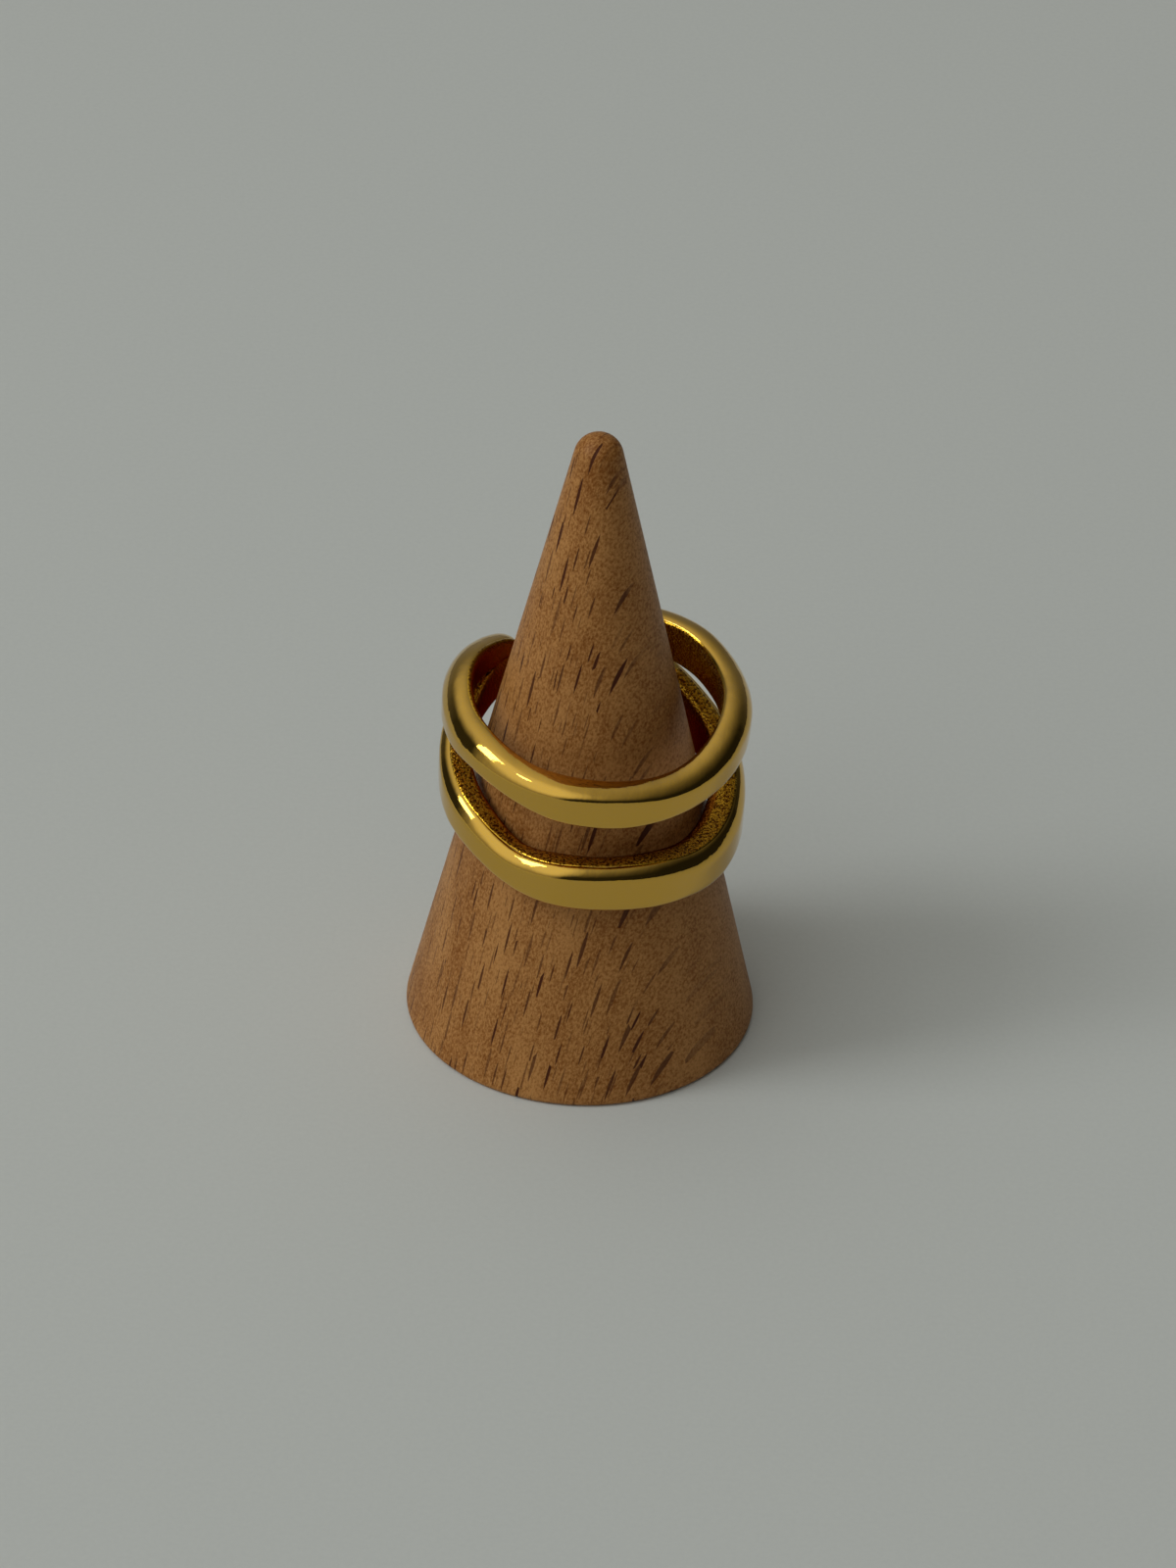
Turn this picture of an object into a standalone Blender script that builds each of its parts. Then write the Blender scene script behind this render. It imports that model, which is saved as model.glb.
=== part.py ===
"""Open two-band finger ring, resting on a small turned wooden cone.

Units are metres, +Z is up. The stand's base is centred on the origin.
Turns round the ring are in degrees from the front (-Y) towards the right (+X).
"""
import math
from typing import NamedTuple

import bmesh
import bpy

# Stand: a plain cone with a rounded tip
STAND_HEIGHT = 0.050
STAND_BASE_RADIUS = 0.01295
STAND_TIP_RADIUS = 0.0018
STAND_EDGE_RADIUS = 0.0004
STAND_SIDES = 72
STAND_TIP_STEPS = 6
STAND_EDGE_STEPS = 3
STAND_SHARP_DEG = 40.0

# Ring: two bands that leave one wide arm, part round the front and meet again
RING_INNER_RADIUS = 0.0090
RING_WALL = 0.00225
RING_HEIGHT = 0.0130
CROWN_RISE = 0.0012
SOLE_RISE = 0.0003
RIDGE_SETBACK = 0.00012
SEAT_GAP = 0.00025

# Shares of the wall: where the crown lies, how much of the rise it has, and the inner top's ease
CROWN_PLACE = 0.38
CROWN_SHARE = 0.9
INNER_EASE = 0.1

# How the ring sits on the stand
RING_SHIFT_RIGHT = 0.0004
RING_SHIFT_FORWARD = 0.0003
RING_LEAN_DEG = 1.4

# Where the bands meet and where the ring ends, in degrees
LEFT_TIP_TURN = -142.0
LEFT_FORK_TURN = -125.0
RIGHT_FORK_TURN = 175.0
RIGHT_TIP_TURN = 194.0
BAND_STEPS = 30

# Sections of an arm: share of the way from fork to tip, and share of the full section
ARM_SECTIONS = ((0.25, 1.0), (0.55, 1.0), (0.85, 0.88), (1.0, 0.5))

# How firmly the outer face's two edges keep their corner when the ring is rounded
RIDGE_CREASE = 0.75
FOOT_CREASE = 0.55


class Station(NamedTuple):
    """The ring's edges at one turn.

    Ridges and feet are shares of RING_HEIGHT and rises are shares of CROWN_RISE. Insets, where an
    outer face is drawn in, and the ledge, by which the lower band's top reaches further in than
    the upper band's, are shares of RING_WALL.
    """

    turn: float
    upper_ridge: float
    upper_foot: float
    upper_rise: float
    upper_inset: float
    lower_ridge: float
    lower_foot: float
    lower_rise: float
    lower_inset: float
    ledge: float


STATIONS = (
    Station(-150, 0.81, 0.74, 0.70, 0.00, 0.740, 0.60, 0.50, 0.00, 0.00),
    Station(-125, 0.89, 0.77, 0.80, 0.00, 0.770, 0.53, 0.50, 0.00, 0.00),
    Station(-110, 0.92, 0.79, 0.90, 0.00, 0.650, 0.46, 0.55, 0.00, 0.02),
    Station(-90, 0.91, 0.77, 1.00, 0.00, 0.530, 0.35, 0.45, 0.00, 0.04),
    Station(-70, 0.86, 0.76, 1.00, 0.00, 0.420, 0.26, 0.40, 0.00, 0.05),
    Station(-50, 0.83, 0.74, 1.00, 0.04, 0.334, 0.184, 0.50, 0.06, 0.05),
    Station(-32, 0.80, 0.68, 0.80, 0.08, 0.241, 0.082, 0.63, 0.15, 0.05),
    Station(-15, 0.795, 0.635, 0.65, 0.00, 0.255, 0.065, 0.63, 0.00, 0.05),
    Station(8, 0.785, 0.595, 0.50, 0.03, 0.248, 0.030, 0.63, 0.07, 0.05),
    Station(32, 0.76, 0.612, 0.60, 0.00, 0.225, 0.018, 0.72, 0.00, 0.08),
    Station(50, 0.77, 0.64, 0.80, 0.00, 0.180, 0.00, 0.85, 0.00, 0.12),
    Station(70, 0.82, 0.68, 0.90, 0.00, 0.200, 0.02, 0.95, 0.00, 0.15),
    Station(90, 0.86, 0.70, 1.00, 0.00, 0.290, 0.10, 0.95, 0.00, 0.12),
    Station(110, 0.88, 0.70, 1.00, 0.00, 0.410, 0.20, 0.90, 0.00, 0.06),
    Station(130, 0.93, 0.73, 0.90, 0.00, 0.500, 0.28, 0.85, 0.00, 0.02),
    Station(150, 0.95, 0.75, 0.80, 0.00, 0.630, 0.43, 0.80, 0.00, 0.00),
    Station(175, 0.93, 0.78, 0.80, 0.00, 0.780, 0.59, 0.50, 0.00, 0.00),
    Station(200, 0.87, 0.75, 0.70, 0.00, 0.750, 0.65, 0.50, 0.00, 0.00),
)

# Names of a section's points, counted round it from the outer lower edge
OUTER_FOOT, OUTER_MIDDLE, RIDGE, CROWN, INNER_TOP, INNER_MIDDLE, INNER_FOOT, SOLE = range(8)

# Places in the arm's loop of points: its outer face runs from the foot to the ridge, and its
# inner face from the inner top down to the last point before the sole
ARM_FOOT = 0
ARM_RIDGE = 4
ARM_CROWN = 5
ARM_INNER_TOP = 6
ARM_SOLE = 11

GOLD = {"color": (0.78, 0.46, 0.10, 1.0), "metallic": 1.0, "roughness": 0.12}
BEECH = {"color": (0.40, 0.19, 0.06, 1.0), "metallic": 0.0, "roughness": 0.5}


def clear_scene() -> None:
    """Remove every object from the open file."""
    for item in list(bpy.data.objects):
        bpy.data.objects.remove(item, do_unlink=True)


def make_material(name: str, finish: dict) -> bpy.types.Material:
    """Return a Principled material with one colour, metallic value and roughness."""
    material = bpy.data.materials.new(name)
    material.use_nodes = True
    shader = material.node_tree.nodes["Principled BSDF"]
    shader.inputs["Base Color"].default_value = finish["color"]
    shader.inputs["Metallic"].default_value = finish["metallic"]
    shader.inputs["Roughness"].default_value = finish["roughness"]
    return material


def add_object(name: str, mesh_data: bmesh.types.BMesh, material: bpy.types.Material) -> bpy.types.Object:
    """Turn a bmesh into a smooth-shaded object with its faces pointing out."""
    bmesh.ops.recalc_face_normals(mesh_data, faces=mesh_data.faces)
    mesh = bpy.data.meshes.new(name)
    mesh_data.to_mesh(mesh)
    mesh_data.free()
    mesh.materials.append(material)
    mesh.shade_smooth()
    item = bpy.data.objects.new(name, mesh)
    bpy.context.scene.collection.objects.link(item)
    return item


# The stand
def stand_side_angle() -> float:
    """Angle between the cone's side and the vertical, with the side tangent to the rounded tip."""
    tip_centre = STAND_HEIGHT - STAND_TIP_RADIUS
    reach = math.hypot(STAND_BASE_RADIUS, tip_centre)
    return math.atan2(STAND_BASE_RADIUS, tip_centre) - math.asin(STAND_TIP_RADIUS / reach)


def stand_radius_at(height: float) -> float:
    """Radius of the cone's straight side at a height above the base."""
    return STAND_BASE_RADIUS - height * math.tan(stand_side_angle())


def stand_profile() -> list[tuple[float, float]]:
    """Radius and height of the turned profile, from the base edge up to just below the top."""
    angle = stand_side_angle()
    points = []
    edge_centre = stand_radius_at(STAND_EDGE_RADIUS) - STAND_EDGE_RADIUS / math.cos(angle)
    for step in range(STAND_EDGE_STEPS + 1):
        turn = -math.pi / 2 + (math.pi / 2 + angle) * step / STAND_EDGE_STEPS
        radius = edge_centre + STAND_EDGE_RADIUS * math.cos(turn)
        points.append((radius, STAND_EDGE_RADIUS + STAND_EDGE_RADIUS * math.sin(turn)))
    tip_centre = STAND_HEIGHT - STAND_TIP_RADIUS
    for step in range(STAND_TIP_STEPS):
        turn = angle + (math.pi / 2 - angle) * step / STAND_TIP_STEPS
        points.append((STAND_TIP_RADIUS * math.cos(turn), tip_centre + STAND_TIP_RADIUS * math.sin(turn)))
    return points


def build_stand() -> bpy.types.Object:
    """Turn the stand's profile about the Z axis."""
    work = bmesh.new()
    rings = []
    for radius, height in stand_profile():
        ring = []
        for side in range(STAND_SIDES):
            turn = math.tau * side / STAND_SIDES
            ring.append(work.verts.new((radius * math.cos(turn), radius * math.sin(turn), height)))
        rings.append(ring)
    for lower, upper in zip(rings, rings[1:]):
        for side in range(STAND_SIDES):
            after = (side + 1) % STAND_SIDES
            work.faces.new((lower[side], lower[after], upper[after], upper[side]))
    base_centre = work.verts.new((0.0, 0.0, 0.0))
    top_centre = work.verts.new((0.0, 0.0, STAND_HEIGHT))
    for side in range(STAND_SIDES):
        after = (side + 1) % STAND_SIDES
        work.faces.new((rings[0][after], rings[0][side], base_centre))
        work.faces.new((rings[-1][side], rings[-1][after], top_centre))
    stand = add_object("ring_cone", work, make_material("beech", BEECH))
    stand.data.set_sharp_from_angle(angle=math.radians(STAND_SHARP_DEG))
    return stand


# The ring's sections
def smooth_station(turn: float) -> Station:
    """Read the table at any turn, with a smooth curve through its rows."""
    last = len(STATIONS) - 1
    low = max(index for index in range(last) if STATIONS[index].turn <= max(turn, STATIONS[0].turn))
    rows = [STATIONS[min(max(low + step, 0), last)] for step in (-1, 0, 1, 2)]
    span = rows[2].turn - rows[1].turn
    share = (turn - rows[1].turn) / span
    values = [turn]
    for column in range(1, len(STATIONS[0])):
        before, start, end, after = (row[column] for row in rows)
        slope_in = (end - before) / (rows[2].turn - rows[0].turn) * span
        slope_out = (after - start) / (rows[3].turn - rows[1].turn) * span
        cubic = 2 * start - 2 * end + slope_in + slope_out
        square = 3 * end - 3 * start - 2 * slope_in - slope_out
        values.append(((cubic * share + square) * share + slope_in) * share + start)
    return Station(*values)


def ring_foot_height() -> float:
    """Height of the ring's lowest share, where its inside meets the stand's front with the seat gap."""
    seat_radius = RING_INNER_RADIUS + RING_SHIFT_FORWARD - SEAT_GAP
    seat_height = (STAND_BASE_RADIUS - seat_radius) / math.tan(stand_side_angle())
    front = smooth_station(0.0)
    return seat_height - SOLE_RISE - front.lower_foot * RING_HEIGHT


def ring_point(turn: float, radius: float, height: float) -> tuple[float, float, float]:
    """Place a point of the ring: a radius from its own leaning axis, and a height above the base."""
    angle = math.radians(turn)
    middle = ring_foot_height() + RING_HEIGHT / 2
    lean = math.tan(math.radians(RING_LEAN_DEG)) * (height - middle)
    right = RING_SHIFT_RIGHT + lean + radius * math.sin(angle)
    forward = RING_SHIFT_FORWARD + radius * math.cos(angle)
    return (right, -forward, height)


def band_section(ridge: float, foot: float, rise: float, inset: float, ledge: float) -> list[tuple[float, float]]:
    """Radius and height of one band's eight section points.

    The outer face is flat and upright, the top is domed and climbs inwards, and the inner face is
    upright with soft edges. The inset draws the outer face in, and the ledge carries the top in.
    """
    outer = RING_INNER_RADIUS + RING_WALL - inset
    inner_top = ridge + rise
    inner_foot = foot + SOLE_RISE
    return [
        (outer - RIDGE_SETBACK, foot),
        (outer, (foot + ridge) / 2),
        (outer - RIDGE_SETBACK, ridge),
        (outer - RING_WALL * CROWN_PLACE, ridge + rise * CROWN_SHARE),
        (RING_INNER_RADIUS + RING_WALL * INNER_EASE - ledge, inner_top),
        (RING_INNER_RADIUS - ledge / 2, (inner_top + inner_foot) / 2),
        (RING_INNER_RADIUS, inner_foot),
        (RING_INNER_RADIUS + RING_WALL / 2, foot),
    ]


def band_sections(turn: float) -> tuple[list[tuple[float, float]], list[tuple[float, float]]]:
    """Sections of the upper and the lower band at one turn."""
    row = smooth_station(turn)
    base = ring_foot_height()
    upper = band_section(
        base + row.upper_ridge * RING_HEIGHT,
        base + row.upper_foot * RING_HEIGHT,
        row.upper_rise * CROWN_RISE,
        row.upper_inset * RING_WALL,
        0.0,
    )
    lower = band_section(
        base + row.lower_ridge * RING_HEIGHT,
        base + row.lower_foot * RING_HEIGHT,
        row.lower_rise * CROWN_RISE,
        row.lower_inset * RING_WALL,
        row.ledge * RING_WALL,
    )
    return upper, lower


def add_section(work: bmesh.types.BMesh, turn: float, section: list[tuple[float, float]]) -> list:
    """Add a section's points at one turn."""
    return [work.verts.new(ring_point(turn, radius, height)) for radius, height in section]


def bridge(work: bmesh.types.BMesh, first: list, second: list) -> None:
    """Join two sections with one face for each pair of neighbouring points."""
    count = len(first)
    for point in range(count):
        after = (point + 1) % count
        work.faces.new((first[point], first[after], second[after], second[point]))


def crease_along(work: bmesh.types.BMesh, sections: list, point: int, amount: float) -> None:
    """Crease the edges that run through the same point of neighbouring sections."""
    layer = work.edges.layers.float["crease_edge"]
    for first, second in zip(sections, sections[1:]):
        work.edges.get((first[point], second[point]))[layer] = amount


def arm_loop(upper: list, lower: list) -> list:
    """The twelve points round the arm, where the upper band's foot is the lower band's ridge."""
    return [
        lower[OUTER_FOOT],
        lower[OUTER_MIDDLE],
        lower[RIDGE],
        upper[OUTER_MIDDLE],
        upper[RIDGE],
        upper[CROWN],
        upper[INNER_TOP],
        upper[INNER_MIDDLE],
        lower[INNER_TOP],
        lower[INNER_MIDDLE],
        lower[INNER_FOOT],
        lower[SOLE],
    ]


def shrink_section(section: list[tuple[float, float]], share: float) -> list[tuple[float, float]]:
    """Draw a section in towards its own middle."""
    radius_mean = sum(radius for radius, _ in section) / len(section)
    height_mean = sum(height for _, height in section) / len(section)
    return [
        (radius_mean + (radius - radius_mean) * share, height_mean + (height - height_mean) * share)
        for radius, height in section
    ]


def close_arm(work: bmesh.types.BMesh, loop: list) -> None:
    """Close the arm's last loop with two columns of faces either side of a middle column."""
    outer = loop[ARM_FOOT:ARM_RIDGE + 1]
    inner = loop[ARM_INNER_TOP:ARM_SOLE]
    inner.reverse()
    middle = [loop[ARM_SOLE]]
    for outer_point, inner_point in zip(outer[1:-1], inner[1:-1]):
        middle.append(work.verts.new((outer_point.co + inner_point.co) / 2))
    middle.append(loop[ARM_CROWN])
    for index in range(len(middle) - 1):
        work.faces.new((outer[index], outer[index + 1], middle[index + 1], middle[index]))
        work.faces.new((middle[index], middle[index + 1], inner[index + 1], inner[index]))


def build_arm(work: bmesh.types.BMesh, fork_loop: list, fork_turn: float, tip_turn: float) -> None:
    """Carry the joined bands from their fork to the ring's rounded end."""
    loops = [fork_loop]
    for share, scale in ARM_SECTIONS:
        turn = fork_turn + (tip_turn - fork_turn) * share
        section = shrink_section(arm_loop(*band_sections(turn)), scale)
        loops.append(add_section(work, turn, section))
        bridge(work, loops[-2], loops[-1])
    close_arm(work, loops[-1])
    crease_along(work, loops, ARM_RIDGE, RIDGE_CREASE)
    crease_along(work, loops, ARM_FOOT, FOOT_CREASE)


def fork_points(work: bmesh.types.BMesh, turn: float) -> tuple[list, list]:
    """Points at a fork, where the upper band's underside and the lower band's top are one."""
    upper_section, lower_section = band_sections(turn)
    upper = add_section(work, turn, upper_section)
    lower = add_section(work, turn, lower_section[:RIDGE])
    lower += [upper[OUTER_FOOT], upper[SOLE], upper[INNER_FOOT]]
    lower += add_section(work, turn, lower_section[INNER_MIDDLE:])
    return upper, lower


def build_ring() -> bpy.types.Object:
    """Build the ring as one closed cage and round it with subdivision."""
    work = bmesh.new()
    work.edges.layers.float.new("crease_edge")
    turns = [
        LEFT_FORK_TURN + (RIGHT_FORK_TURN - LEFT_FORK_TURN) * step / BAND_STEPS
        for step in range(BAND_STEPS + 1)
    ]
    left = fork_points(work, turns[0])
    right = fork_points(work, turns[-1])
    uppers = [left[0]]
    lowers = [left[1]]
    for turn in turns[1:-1]:
        upper_section, lower_section = band_sections(turn)
        uppers.append(add_section(work, turn, upper_section))
        lowers.append(add_section(work, turn, lower_section))
    uppers.append(right[0])
    lowers.append(right[1])
    for sections in (uppers, lowers):
        for first, second in zip(sections, sections[1:]):
            bridge(work, first, second)
        crease_along(work, sections, RIDGE, RIDGE_CREASE)
        crease_along(work, sections, OUTER_FOOT, FOOT_CREASE)
    build_arm(work, arm_loop(*left), LEFT_FORK_TURN, LEFT_TIP_TURN)
    build_arm(work, arm_loop(*right), RIGHT_FORK_TURN, RIGHT_TIP_TURN)
    ring = add_object("double_band_ring", work, make_material("gold_plated_brass", GOLD))
    rounding = ring.modifiers.new("rounding", "SUBSURF")
    rounding.levels = 1
    rounding.render_levels = 1
    return ring


def main() -> None:
    """Build the stand and the ring."""
    clear_scene()
    build_stand()
    build_ring()


main()
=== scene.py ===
"""Looks of the open two-band ring on its turned wooden cone.

Everything is in metres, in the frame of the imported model: +Z is up, -Y is the front, and the
cone's foot is centred on the origin. Turns round the ring are in degrees from the front towards
the right (+X).
"""
import logging
import math
from dataclasses import dataclass, field
from enum import Enum, IntEnum
from typing import NamedTuple

import bmesh
import bpy
from mathutils import Matrix, Vector, noise


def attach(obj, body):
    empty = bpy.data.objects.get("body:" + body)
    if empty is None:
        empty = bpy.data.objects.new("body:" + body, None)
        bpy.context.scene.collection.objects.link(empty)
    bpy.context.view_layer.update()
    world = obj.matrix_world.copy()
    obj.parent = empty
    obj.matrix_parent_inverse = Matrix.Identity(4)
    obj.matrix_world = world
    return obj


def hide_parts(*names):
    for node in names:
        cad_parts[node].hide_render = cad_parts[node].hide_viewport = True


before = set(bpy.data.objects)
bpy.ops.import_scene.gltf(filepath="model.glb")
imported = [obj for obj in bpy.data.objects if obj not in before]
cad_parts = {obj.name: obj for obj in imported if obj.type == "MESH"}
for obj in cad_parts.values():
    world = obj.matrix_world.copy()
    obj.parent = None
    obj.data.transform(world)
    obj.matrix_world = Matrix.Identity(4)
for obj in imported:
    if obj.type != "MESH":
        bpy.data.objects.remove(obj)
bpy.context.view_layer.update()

MM = 0.001
ROOT_BODY = "root"
WHITE = (1.0, 1.0, 1.0, 1.0)
log = logging.getLogger("ring_on_cone")

Socket = bpy.types.NodeSocket
Plug = Socket | float | tuple[float, ...]


class Bench:
    """Lays out shader nodes in one node tree."""

    def __init__(self, tree: bpy.types.NodeTree) -> None:
        """Keep the tree and clear it.

        Args:
            tree: The node tree of a material or a world.
        """
        self.tree = tree
        tree.nodes.clear()

    def add(self, kind: str, **settings: object) -> bpy.types.Node:
        """Add a node.

        Args:
            kind: Blender's name of the node type.
            settings: Properties to set on it.

        Returns:
            The new node.
        """
        node = self.tree.nodes.new(kind)
        for name, value in settings.items():
            setattr(node, name, value)
        return node

    def plug(self, target: Socket, source: Plug) -> None:
        """Link a socket to a target, or set the target's value.

        Args:
            target: An input socket.
            source: An output socket, a number or a tuple.
        """
        if isinstance(source, bpy.types.NodeSocket):
            self.tree.links.new(source, target)
        else:
            target.default_value = source

    def math(self, operation: str, *values: Plug) -> Socket:
        """Work out one number.

        Args:
            operation: The Math node's operation.
            values: One to three inputs.

        Returns:
            The result's socket.
        """
        node = self.add("ShaderNodeMath", operation=operation)
        for target, value in zip(node.inputs, values):
            self.plug(target, value)
        return node.outputs[0]

    def vector(self, operation: str, *values: Plug) -> Socket:
        """Work out one vector, or one number where the operation gives one.

        Args:
            operation: The Vector Math node's operation.
            values: Its inputs.

        Returns:
            The result's socket.
        """
        node = self.add("ShaderNodeVectorMath", operation=operation)
        for target, value in zip(node.inputs, values):
            self.plug(target, value)
        return node.outputs["Value" if operation in ("DOT_PRODUCT", "LENGTH") else "Vector"]

    def combine(self, x: Plug, y: Plug, z: Plug) -> Socket:
        """Join three numbers into a vector.

        Args:
            x: The first number.
            y: The second number.
            z: The third number.

        Returns:
            The vector's socket.
        """
        node = self.add("ShaderNodeCombineXYZ")
        for target, value in zip(node.inputs, (x, y, z)):
            self.plug(target, value)
        return node.outputs[0]

    def split(self, vector: Plug) -> tuple[Socket, Socket, Socket]:
        """Take a vector apart into its three numbers.

        Args:
            vector: The vector.

        Returns:
            The sockets of its three numbers.
        """
        node = self.add("ShaderNodeSeparateXYZ")
        self.plug(node.inputs[0], vector)
        return tuple(node.outputs)

    def ramp(self, value: Plug, low: Plug, high: Plug, start: Plug = 0.0, end: Plug = 1.0) -> Socket:
        """Ease from start to end as the value goes from low to high.

        Args:
            value: The number to follow.
            low: Where the ease begins.
            high: Where it ends.
            start: The result at low.
            end: The result at high.

        Returns:
            The eased number's socket.
        """
        node = self.add("ShaderNodeMapRange", interpolation_type="SMOOTHSTEP")
        for name, source in (("Value", value), ("From Min", low), ("From Max", high),
                             ("To Min", start), ("To Max", end)):
            self.plug(node.inputs[name], source)
        return node.outputs["Result"]

    def mix(self, share: Plug, first: Plug, second: Plug) -> Socket:
        """Mix two colours.

        Args:
            share: How much of the second one there is.
            first: A colour.
            second: A colour.

        Returns:
            The mixed colour's socket.
        """
        node = self.add("ShaderNodeMix", data_type="RGBA")
        self.plug(node.inputs["Factor"], share)
        colours = [item for item in node.inputs if item.type == "RGBA"]
        self.plug(colours[0], first)
        self.plug(colours[1], second)
        return next(item for item in node.outputs if item.type == "RGBA")

    def noise(self, vector: Plug, scale: float, detail: float = 2.0, rough: float = 0.5) -> Socket:
        """Read soft noise between 0 and 1.

        Args:
            vector: Where it is read.
            scale: How many times it varies over one unit.
            detail: How many finer layers it has.
            rough: How strong the finer layers are.

        Returns:
            The noise's socket.
        """
        node = self.add("ShaderNodeTexNoise")
        self.plug(node.inputs["Vector"], vector)
        node.inputs["Scale"].default_value = scale
        node.inputs["Detail"].default_value = detail
        node.inputs["Roughness"].default_value = rough
        return node.outputs[0]

    def bump(self, height: Plug, depth: float, below: Socket | None = None) -> Socket:
        """Tilt the normal by a height between 0 and 1.

        Args:
            height: The height's socket.
            depth: The relief in metres between heights 0 and 1.
            below: A normal that this one is laid over.

        Returns:
            The normal's socket.
        """
        node = self.add("ShaderNodeBump")
        node.inputs["Distance"].default_value = depth
        self.plug(node.inputs["Height"], height)
        if below is not None:
            self.plug(node.inputs["Normal"], below)
        return node.outputs["Normal"]

    def surface(self, **values: Plug) -> bpy.types.Node:
        """Add a Principled shader with its output.

        Args:
            values: Inputs by name, with underscores for spaces.

        Returns:
            The shader node.
        """
        shader = self.add("ShaderNodeBsdfPrincipled")
        for name, value in values.items():
            self.plug(shader.inputs[name.replace("_", " ")], value)
        output = self.add("ShaderNodeOutputMaterial")
        self.plug(output.inputs["Surface"], shader.outputs[0])
        return shader


def new_material(name: str) -> tuple[bpy.types.Material, Bench]:
    """Make an empty material.

    Args:
        name: Its name.

    Returns:
        The material and a bench on its node tree.
    """
    material = bpy.data.materials.new(name)
    material.use_nodes = True
    return material, Bench(material.node_tree)


def add_piece(name: str, mesh: bpy.types.Mesh, material: bpy.types.Material) -> bpy.types.Object:
    """Put a smooth mesh with one material into the scene.

    Args:
        name: The piece's name.
        mesh: Its mesh.
        material: Its finish.

    Returns:
        The new object.
    """
    mesh.materials.clear()
    mesh.materials.append(material)
    mesh.shade_smooth()
    piece = bpy.data.objects.new(name, mesh)
    bpy.context.scene.collection.objects.link(piece)
    return piece


def mesh_from(work: bmesh.types.BMesh, name: str) -> bpy.types.Mesh:
    """Turn a bmesh into a mesh with its faces pointing out.

    Args:
        work: The bmesh, which is freed.
        name: The mesh's name.

    Returns:
        The mesh.
    """
    bmesh.ops.recalc_face_normals(work, faces=work.faces)
    mesh = bpy.data.meshes.new(name)
    work.to_mesh(mesh)
    work.free()
    return mesh


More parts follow.
